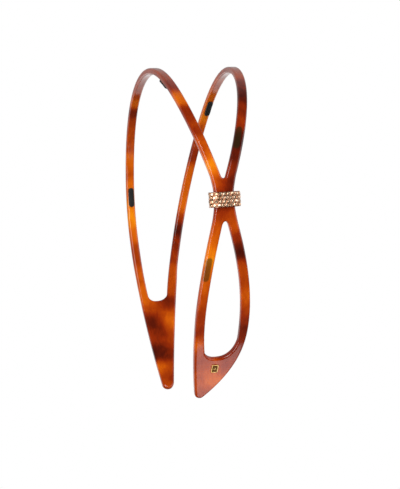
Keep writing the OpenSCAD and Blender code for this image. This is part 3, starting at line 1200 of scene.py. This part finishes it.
@dataclass(frozen=True)
class GripPads:
    """Five silicone pads on the inner face, which keep the band from sliding on hair."""

    pattern: BandPattern = PATTERN
    length: float = 9.9
    width: float = 2.7
    thickness: float = 1.1
    glue: float = 0.05
    edge: float = 0.3
    crown: float = 0.12

    def places(self) -> tuple[PadPlace, ...]:
        """Where the five pads go, each on a strand's middle line."""
        def on(line: Callable[[Array], Array], s: float) -> float:
            """Place across the band of a strand's line at s."""
            return float(line(np.array(s)))

        front, rear = self.pattern.front_line, self.pattern.rear_line
        return (PadPlace("grip_pad_far_leg", FAR_ARM, -84.5, on(front, -84.5), 0.0, 0.8),
                PadPlace("grip_pad_far_crown", FAR_ARM, -34.4, on(rear, -34.4), 0.0, 0.8),
                PadPlace("grip_pad_near_crown", NEAR_ARM, 33.0, on(front, 33.0) - 0.3, 0.024, 0.15),
                PadPlace("grip_pad_near_rear", NEAR_ARM, 71.3, on(rear, 71.3) - 0.3, -0.365, 0.95),
                PadPlace("grip_pad_near_loop", NEAR_ARM, 124.5, on(rear, 124.5), -0.17, 0.9))

    def build(self, spot: PadPlace) -> bpy.types.Object:
        """Builds one pad, slightly domed on the side that touches the head.

        Args:
            spot: where it goes.

        Returns:
            The pad.
        """
        half_l, half_w = self.length / 2, self.width / 2
        corners = [(x * half_l, y * half_w, half_w) for x, y in ((-1, -1), (1, -1), (1, 1), (-1, 1))]
        inner = self.pattern.face(Side.INNER, self.glue)
        slab = Slab((rounded_polygon(corners, 0.3),), inner - self.thickness, inner, self.edge, grid=0.45)
        flat, faces = slab.flat()
        along, across, out = flat.T
        low = (inner - out) / self.thickness
        fall = np.clip((np.abs(across) / half_w) ** 2 + (np.abs(along) / half_l) ** 6, 0, 1)
        out = out + self.crown * low * fall
        points = self.pattern.place(spot.s + along, spot.y + across + along * spot.slope, out)
        pad = mesh_piece(spot.node.replace("grip_pad", "silicone_pad"), points, faces)
        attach(pad, spot.body)
        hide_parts(spot.node)
        log.info("built %s", pad.name)
        return pad


# --------------------------------------------------------------------------- jewelled ring


@dataclass(frozen=True)
class JewelledRing:
    """Rose-gold collar closed round the waist, set with four rows of crystals."""

    pattern: BandPattern = PATTERN
    s: float = 97.1
    y: float = 6.4
    width: float = 12.6
    depth: float = 6.2
    corner: float = 2.9
    slot_w: float = 9.8
    play: float = 0.1
    slot_corner: float = 0.6
    edge: float = 0.15
    arris: float = 0.2
    crystal_d: float = 1.5
    pitch: float = 1.72
    crystal_h: float = 0.42
    bead_d: float = 0.5
    lift: float = 0.02
    cup_wall: float = 0.07
    cup_h: float = 0.2
    shell_h: float = 6.1
    rim_r: float = 0.12
    rim_sides: int = 12
    rim_sink: float = 0.03
    rim_overrun: float = 1.2
    tilt: float = 0.15
    rows: tuple[str, ...] = ("bottom", "lower", "upper", "top")

    @property
    def seat(self) -> Matrix:
        """Axes of the ring, on the middle of the sheet."""
        return self.pattern.seat(self.s, self.y, 0.0)

    @property
    def slot_half(self) -> float:
        """Half of the slot's depth, which is also where the two halves meet behind."""
        return self.pattern.thickness / 2 + self.play

    @property
    def row_rise(self) -> float:
        """Height from one row of crystals to the next."""
        return self.pitch * math.sqrt(3) / 2

    def row_z(self, k: float) -> float:
        """Height of row k above the ring's middle."""
        return (k - (len(self.rows) - 1) / 2) * self.row_rise

    def row_places(self, k: int) -> list[float]:
        """Places of row k's crystals along the ring's outline, from the middle of its front."""
        last = self.flat_half + self.corner_l + 0.4
        count = int(last / self.pitch)
        shift = 0.5 * (k % 2)
        spots = [(i + shift) * self.pitch for i in range(-count - 1, count + 1)]
        return [u for u in spots if abs(u) <= last]

    @property
    def flat_half(self) -> float:
        """Half length of the ring's flat front."""
        return self.width / 2 - self.corner

    @property
    def corner_l(self) -> float:
        """Length round one of its corners."""
        return self.corner * math.pi / 2

    def outline(self, u: float, z: float, out: float = 0.0) -> Matrix:
        """Axes on the ring's outer surface, with Z pointing out of it.

        Args:
            u: place along its outline from the middle of the front.
            z: height.
            out: distance out of the surface.

        Returns:
            The matrix.
        """
        a = abs(u)
        turn = 0.0 if a <= self.flat_half else min(1.0, (a - self.flat_half) / self.corner_l) * math.pi / 2
        past = max(0.0, a - self.flat_half - self.corner_l)
        x = self.depth / 2 - (0 if turn == 0 else self.corner * (1 - math.cos(turn))) - past
        y = u if turn == 0 else math.copysign(self.flat_half + self.corner * math.sin(turn), u)
        face = Matrix.Rotation(math.copysign(turn, u), 4, "Z") @ Matrix.Rotation(math.pi / 2, 4, "Y")
        return self.in_metres(Matrix.Translation((x, y, z)) @ face @ Matrix.Translation((0, 0, out)))

    def in_metres(self, local: Matrix) -> Matrix:
        """Turns a placement in millimetres on the ring's own axes into one in the row frame."""
        moved = Matrix.Translation(local.translation * MM) @ local.to_3x3().to_4x4()
        return self.seat @ moved

    def _corner(self, x_side: int, y_side: int, start: float,
                stop: float) -> list[tuple[float, float, float]]:
        """Points along one of the plan's four round corners.

        Args:
            x_side: 1 for the front, -1 for the back.
            y_side: 1 for the upper side across the band, -1 for the lower.
            start: first angle, in degrees.
            stop: last angle, in degrees.

        Returns:
            Plan corners with no radius of their own.
        """
        x, y = x_side * (self.depth / 2 - self.corner), y_side * self.flat_half
        turns = np.radians(np.linspace(start, stop, 2 + int(abs(stop - start) / 9)))
        return [(x + self.corner * math.cos(a), y + self.corner * math.sin(a), 0.0) for a in turns]

    @property
    def parting(self) -> float:
        """Angle, in degrees, at which the parting line cuts the plan's round back corners."""
        return math.degrees(math.acos((self.depth / 2 - self.corner - self.slot_half) / self.corner))

    def build_shell(self) -> bpy.types.Object:
        """Builds the front shell, whose two ends reach round the waist."""
        join, slot = self.slot_half, self.slot_w / 2
        corners = self._corner(-1, -1, -self.parting, -90) + self._corner(1, -1, -90, 0)
        corners += self._corner(1, 1, 0, 90) + self._corner(-1, 1, 90, self.parting)
        for end in (0, -1):
            corners[end] = (*corners[end][:2], self.arris)
        corners += [(-join, slot, self.arris), (join, slot, self.slot_corner),
                    (join, -slot, self.slot_corner), (-join, -slot, self.arris)]
        shell = self._extrude("ring_shell", corners)
        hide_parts("ring_front_shell")
        return shell

    def build_back(self) -> bpy.types.Object:
        """Builds the plate that closes the ring on the inner side."""
        lower, upper = self._corner(-1, -1, -180, -self.parting), self._corner(-1, 1, self.parting, 180)
        lower[-1], upper[0] = (*lower[-1][:2], self.arris), (*upper[0][:2], self.arris)
        corners = lower + upper
        plate = self._extrude("ring_back", corners)
        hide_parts("ring_back_plate")
        return plate

    def _extrude(self, name: str, corners: Sequence[tuple[float, float, float]]) -> bpy.types.Object:
        """Builds one half of the ring from its plan."""
        loop = rounded_polygon(corners, 0.3)
        slab = Slab((loop,), -self.shell_h / 2, self.shell_h / 2, self.edge, grid=0.5, arc_steps=4, land=0.03)
        flat, faces = slab.flat()
        piece = mesh_piece(name, put(self.seat, flat), faces)
        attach(piece, NEAR_ARM)
        log.info("built %s", name)
        return piece

    def build_rims(self) -> list[bpy.types.Object]:
        """Builds the round wires along the shell's upper and lower edges.

        Returns:
            The two rims.
        """
        last = self.flat_half + self.corner_l + self.rim_overrun
        spots = np.linspace(-last, last, 90)
        n = self.rim_sides
        turns = np.arange(n) / n * 2 * math.pi
        rims = []
        for name, side in (("ring_rim_upper", 1), ("ring_rim_lower", -1)):
            batch = Batch()
            height = side * (self.shell_h / 2 - self.rim_r * 0.7)
            rings = []
            for u in spots:
                axes = self.outline(float(u), height, -self.rim_sink)
                circle = np.column_stack([self.rim_r * np.cos(turns), turns * 0, self.rim_r * np.sin(turns)])
                rings.append(put(axes, circle))
            faces = [(k * n + i, k * n + (i + 1) % n, (k + 1) * n + (i + 1) % n, (k + 1) * n + i)
                     for k in range(len(spots) - 1) for i in range(n)]
            faces += [tuple(reversed(range(n))), tuple(range((len(spots) - 1) * n, len(spots) * n))]
            batch.add(np.concatenate(rings), faces)
            rim = batch.piece(name)
            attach(rim, NEAR_ARM)
            rims.append(rim)
            log.info("built %s", name)
        return rims

    def brilliant(self) -> Shape:
        """Makes one cut stone: a table, eight kites, sixteen girdle facets and a short side."""
        r, h = self.crystal_d / 2, self.crystal_h
        rings = ((8, 0.52 * r, h, 0.0), (8, 0.80 * r, h * 0.66, math.pi / 8), (16, r, h * 0.28, 0.0),
                 (16, r, 0.0, 0.0))
        points = []
        for count, radius, height, shift in rings:
            turns = np.arange(count) / count * 2 * math.pi + shift
            points.append(np.column_stack([radius * np.cos(turns), radius * np.sin(turns),
                                           turns * 0 + height]))
        table, kite, girdle, foot = 0, 8, 16, 32
        faces: list[tuple[int, ...]] = [tuple(range(8))]
        for i in range(8):
            j = (i + 1) % 8
            faces.append((table + i, kite + i, table + j))
            faces.append((table + j, kite + i, girdle + 2 * j, kite + j))
            faces.append((kite + i, girdle + 2 * i, girdle + 2 * i + 1))
            faces.append((kite + i, girdle + 2 * i + 1, girdle + 2 * j))
        for i in range(16):
            j = (i + 1) % 16
            faces.append((girdle + i, foot + i, foot + j, girdle + j))
        faces.append(tuple(foot + i for i in reversed(range(16))))
        return np.concatenate(points), faces

    def build_row(self, k: int) -> bpy.types.Object:
        """Builds a row of crystals, each one turned and tipped a little in its own way.

        Args:
            k: the row, counted from the bottom.

        Returns:
            The row.
        """
        draw = np.random.default_rng(40 + k)
        stone, faces = self.brilliant()
        batch = Batch()
        for u in self.row_places(k):
            turn = Matrix.Rotation(draw.uniform(0, math.pi / 4), 4, "Z")
            tip = Matrix.Rotation(draw.normal(0, self.tilt), 4, "X")
            tip = tip @ Matrix.Rotation(draw.normal(0, self.tilt), 4, "Y")
            batch.add(put(self.outline(u, self.row_z(k), self.lift) @ tip @ turn, stone), faces)
        row = batch.piece(f"crystals_{self.rows[k]}", smooth=False)
        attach(row, NEAR_ARM)
        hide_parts(f"crystal_row_{self.rows[k]}")
        log.info("built %s", row.name)
        return row

    def build_cups(self) -> bpy.types.Object:
        """Builds the thin metal cups that the crystals sit in."""
        r, wall = self.crystal_d / 2 + 0.01, self.cup_wall
        profile = [(r, -0.1), (r + wall, -0.1), (r + wall, self.cup_h * 0.7), (r + wall * 0.6, self.cup_h),
                   (r, self.cup_h)]
        points, faces = turned_shape(profile, 24, closed=True)
        batch = Batch()
        for k in range(len(self.rows)):
            for u in self.row_places(k):
                batch.add(put(self.outline(u, self.row_z(k), self.lift), points), faces)
        cups = batch.piece("crystal_cups")
        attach(cups, NEAR_ARM)
        log.info("built %s", cups.name)
        return cups

    def build_beads(self) -> bpy.types.Object:
        """Builds the small round beads in the gaps between the rows."""
        ball = bmesh.new()
        bmesh.ops.create_icosphere(ball, subdivisions=2, radius=self.bead_d / 2)
        points = np.array([v.co for v in ball.verts])
        faces = [tuple(v.index for v in f.verts) for f in ball.faces]
        ball.free()
        batch = Batch()
        for k in range(len(self.rows) - 1):
            for u in self.row_places(k):
                z = self.row_z(k) + self.row_rise * 2 / 3
                batch.add(put(self.outline(u, z, self.bead_d / 2 + self.lift), points), faces)
        beads = batch.piece("ring_beads")
        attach(beads, NEAR_ARM)
        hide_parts("setting_beads")
        log.info("built %s", beads.name)
        return beads


# --------------------------------------------------------------------------- badge


@dataclass(frozen=True)
class Badge:
    """Small gilded badge on the loop's plate: a framed field with a plain lozenge."""

    pattern: BandPattern = PATTERN
    s: float = 170.1
    y: float = 4.1
    slant: float = math.radians(-4)
    length: float = 3.8
    width: float = 3.0
    field_t: float = 0.18
    frame_t: float = 0.3
    frame_w: float = 0.4
    corner: float = 0.5
    lozenge_r: float = 0.8
    lozenge_h: float = 0.2
    glue: float = 0.05

    @property
    def seat(self) -> Matrix:
        """Axes of the badge, with Z pointing out of the sheet and X along the band."""
        base = self.pattern.seat(self.s, self.y, self.pattern.face(Side.OUTER, self.glue))
        return base @ Matrix.Rotation(self.slant, 4, "X") @ Matrix.Rotation(math.pi / 2, 4, "Y")

    def _loop(self, shrink: float) -> Array:
        """Outline of the badge, made smaller all round."""
        half_l, half_w = self.length / 2 - shrink, self.width / 2 - shrink
        corner = max(0.1, self.corner - shrink)
        signs = ((-1, -1), (1, -1), (1, 1), (-1, 1))
        return rounded_polygon([(x * half_l, y * half_w, corner) for x, y in signs], 0.3)

    def build(self) -> list[bpy.types.Object]:
        """Builds the field, its frame and the lozenge.

        Returns:
            The three pieces.
        """
        shapes = {
            "badge_field": Slab((self._loop(0.02),), 0, self.field_t, 0.03, 0.5, 2, 0.02),
            "badge_frame": Slab((self._loop(0), self._loop(self.frame_w)[::-1]), 0.01, self.frame_t, 0.1,
                                0.3, 3, 0.02),
        }
        pieces = []
        for name, slab in shapes.items():
            flat, faces = slab.flat()
            pieces.append(mesh_piece(name, put(self.seat, flat), faces))
        r, base, top = self.lozenge_r, self.field_t, self.frame_t + self.lozenge_h * 0.6
        tips = [(r, 0), (0, r), (-r, 0), (0, -r)]
        points = [(x, y, base) for x, y in tips] + [(x, y, base + 0.1) for x, y in tips] + [(0, 0, top)]
        faces = [(3, 2, 1, 0)]
        faces += [(i, (i + 1) % 4, 4 + (i + 1) % 4, 4 + i) for i in range(4)]
        faces += [(4 + i, 4 + (i + 1) % 4, 8) for i in range(4)]
        pieces.append(mesh_piece("badge_stud", put(self.seat, np.array(points)), faces, smooth=False))
        for piece in pieces:
            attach(piece, NEAR_ARM)
            log.info("built %s", piece.name)
        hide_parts("badge_plate")
        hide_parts("badge_lozenge")
        return pieces


# --------------------------------------------------------------------------- studio


@dataclass(frozen=True)
class SoftBox:
    """A large soft light: where it hangs, its size, its power and its tint."""

    name: str
    place: tuple[float, float, float]
    size: tuple[float, float]
    power: float
    tint: Colour = (1.0, 1.0, 1.0)


@dataclass(frozen=True)
class Studio:
    """Pale floor, white surroundings, soft lights and the camera."""

    drop: float = 0.30
    floor_size: float = 0.7
    eye: tuple[float, float, float] = (0.44286, -0.13013, -0.03299)
    azimuth: float = math.radians(18.0)
    tilt: float = math.radians(-1.594)
    roll: float = math.radians(-4.677)
    lens: float = 74.92
    back_glow: float = 1.2
    high_glow: float = 0.4
    front_glow: float = 0.05
    boxes: tuple[SoftBox, ...] = (
        SoftBox("key", (0.75, -0.30, 0.20), (0.5, 0.7), 6.0, (1.0, 0.98, 0.96)),
        SoftBox("low_fill", (0.50, -0.50, -0.25), (0.4, 0.4), 2.2),
        SoftBox("side", (0.35, 0.75, 0.12), (1.0, 0.8), 4.5),
        SoftBox("tip_card", (0.057, 0.025, -0.13), (0.034, 0.045), 0.011))

    def floor(self) -> None:
        """Lays the pale floor below the band."""
        half, z = self.floor_size / 2, CAD_BOX[0].z - self.drop
        corners = np.array([(-half, -half, z), (half, -half, z), (half, half, z), (-half, half, z)])
        floor = mesh_piece("floor", corners, [(0, 1, 2, 3)], smooth=False)
        finish = Finish("pale_floor", Base_Color=(0.1, 0.1, 0.1), Roughness=0.9, Specular_IOR_Level=0.0,
                        Emission_Color=(1.0, 1.0, 1.0))
        seen = finish.graph.add("LightPath").outputs["Is Camera Ray"]
        finish.drive("Emission Strength", seen)
        floor.data.materials.append(finish.material)

    def surroundings(self) -> None:
        """Makes the white surroundings, bright behind the band and dim in front of it."""
        world = bpy.data.worlds.new("studio")
        world.use_nodes = True
        bpy.context.scene.world = world
        graph = Graph(world.node_tree)
        split = graph.add("SeparateXYZ")
        graph.feed(split.inputs[0], graph.add("TexCoord").outputs["Generated"])
        behind = graph.between(split.outputs[2], -0.03, 0.05, self.back_glow, self.back_glow * self.high_glow)
        ahead = graph.between(split.outputs[0], -0.45, 0.1, 0.0, 1.0)
        glow = graph.math("ADD", graph.math("MULTIPLY", behind, graph.math("SUBTRACT", 1.0, ahead)),
                          graph.math("MULTIPLY", ahead, self.front_glow))
        seen = graph.add("LightPath").outputs["Is Camera Ray"]
        background = world.node_tree.nodes["Background"]
        graph.feed(background.inputs["Color"], (1.0, 1.0, 1.0))
        strength = graph.math("ADD", graph.math("MULTIPLY", glow, graph.math("SUBTRACT", 1.0, seen)), seen)
        graph.feed(background.inputs["Strength"], strength)

    def lights(self) -> None:
        """Hangs the soft boxes, each one aimed at the band."""
        aim = (CAD_BOX[0] + CAD_BOX[1]) / 2
        for box in self.boxes:
            data = bpy.data.lights.new(box.name, "AREA")
            data.shape = "RECTANGLE"
            data.size, data.size_y = box.size
            data.energy = box.power
            data.color = box.tint
            light = bpy.data.objects.new(box.name, data)
            light.location = box.place
            light.visible_camera = False
            light.rotation_euler = (aim - Vector(box.place)).to_track_quat("-Z", "Y").to_euler()
            bpy.context.scene.collection.objects.link(light)

    def camera(self) -> None:
        """Sets the camera, level with the band and a little in front of the loop's side."""
        az, tilt, roll = self.azimuth, self.tilt, self.roll
        back = Vector((math.cos(az) * math.cos(tilt), -math.sin(az) * math.cos(tilt), math.sin(tilt)))
        level = Vector((math.sin(az), math.cos(az), 0.0))
        up = back.cross(level)
        right = math.cos(roll) * level + math.sin(roll) * up
        turned_up = math.cos(roll) * up - math.sin(roll) * level
        rows = Matrix((right, turned_up, back)).transposed().to_4x4()
        data = bpy.data.cameras.new("camera")
        data.lens = self.lens
        camera = bpy.data.objects.new("camera", data)
        camera.matrix_world = Matrix.Translation(self.eye) @ rows
        bpy.context.scene.collection.objects.link(camera)
        bpy.context.scene.camera = camera
        bpy.context.scene.view_settings.view_transform = "Standard"

    def build(self) -> None:
        """Builds the whole studio."""
        self.floor()
        self.surroundings()
        self.lights()
        self.camera()
        log.info("built the studio")


# --------------------------------------------------------------------------- the whole


def main() -> None:
    """Builds the headband's pieces in order and sets up the studio."""
    logging.basicConfig(level=logging.INFO, format="%(name)s: %(message)s")
    Studio().build()

    pads = GripPads()
    band = BandSheet()
    sheet = band.build()
    dress(sheet, Tortoiseshell().make(pads.places(), pads.length, pads.width))
    band.join(sheet)

    rubber = PadRubber().make()
    for spot in pads.places():
        dress(pads.build(spot), rubber)

    ring = JewelledRing()
    rose_gold = Metal("rose_gold", (0.80, 0.48, 0.32), (0.45, 0.22, 0.13), 0.16).make()
    for piece in [ring.build_shell(), ring.build_back(), *ring.build_rims(), ring.build_cups(),
                  ring.build_beads()]:
        dress(piece, rose_gold)
    crystal = Rhinestone().make()
    for k in range(len(ring.rows)):
        dress(ring.build_row(k), crystal)
    glue = ClearGlue().make()
    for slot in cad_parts["ring_glue"].material_slots:
        slot.material = glue

    gilt = Metal("badge_gold", (0.75, 0.50, 0.20), (0.50, 0.30, 0.09), 0.3).make()
    shaded = Metal("badge_field", (0.16, 0.07, 0.02), (0.10, 0.04, 0.01), 0.5).make()
    for piece, finish in zip(Badge().build(), (shaded, gilt, gilt)):
        dress(piece, finish)


if __name__ == "__main__":
    main()
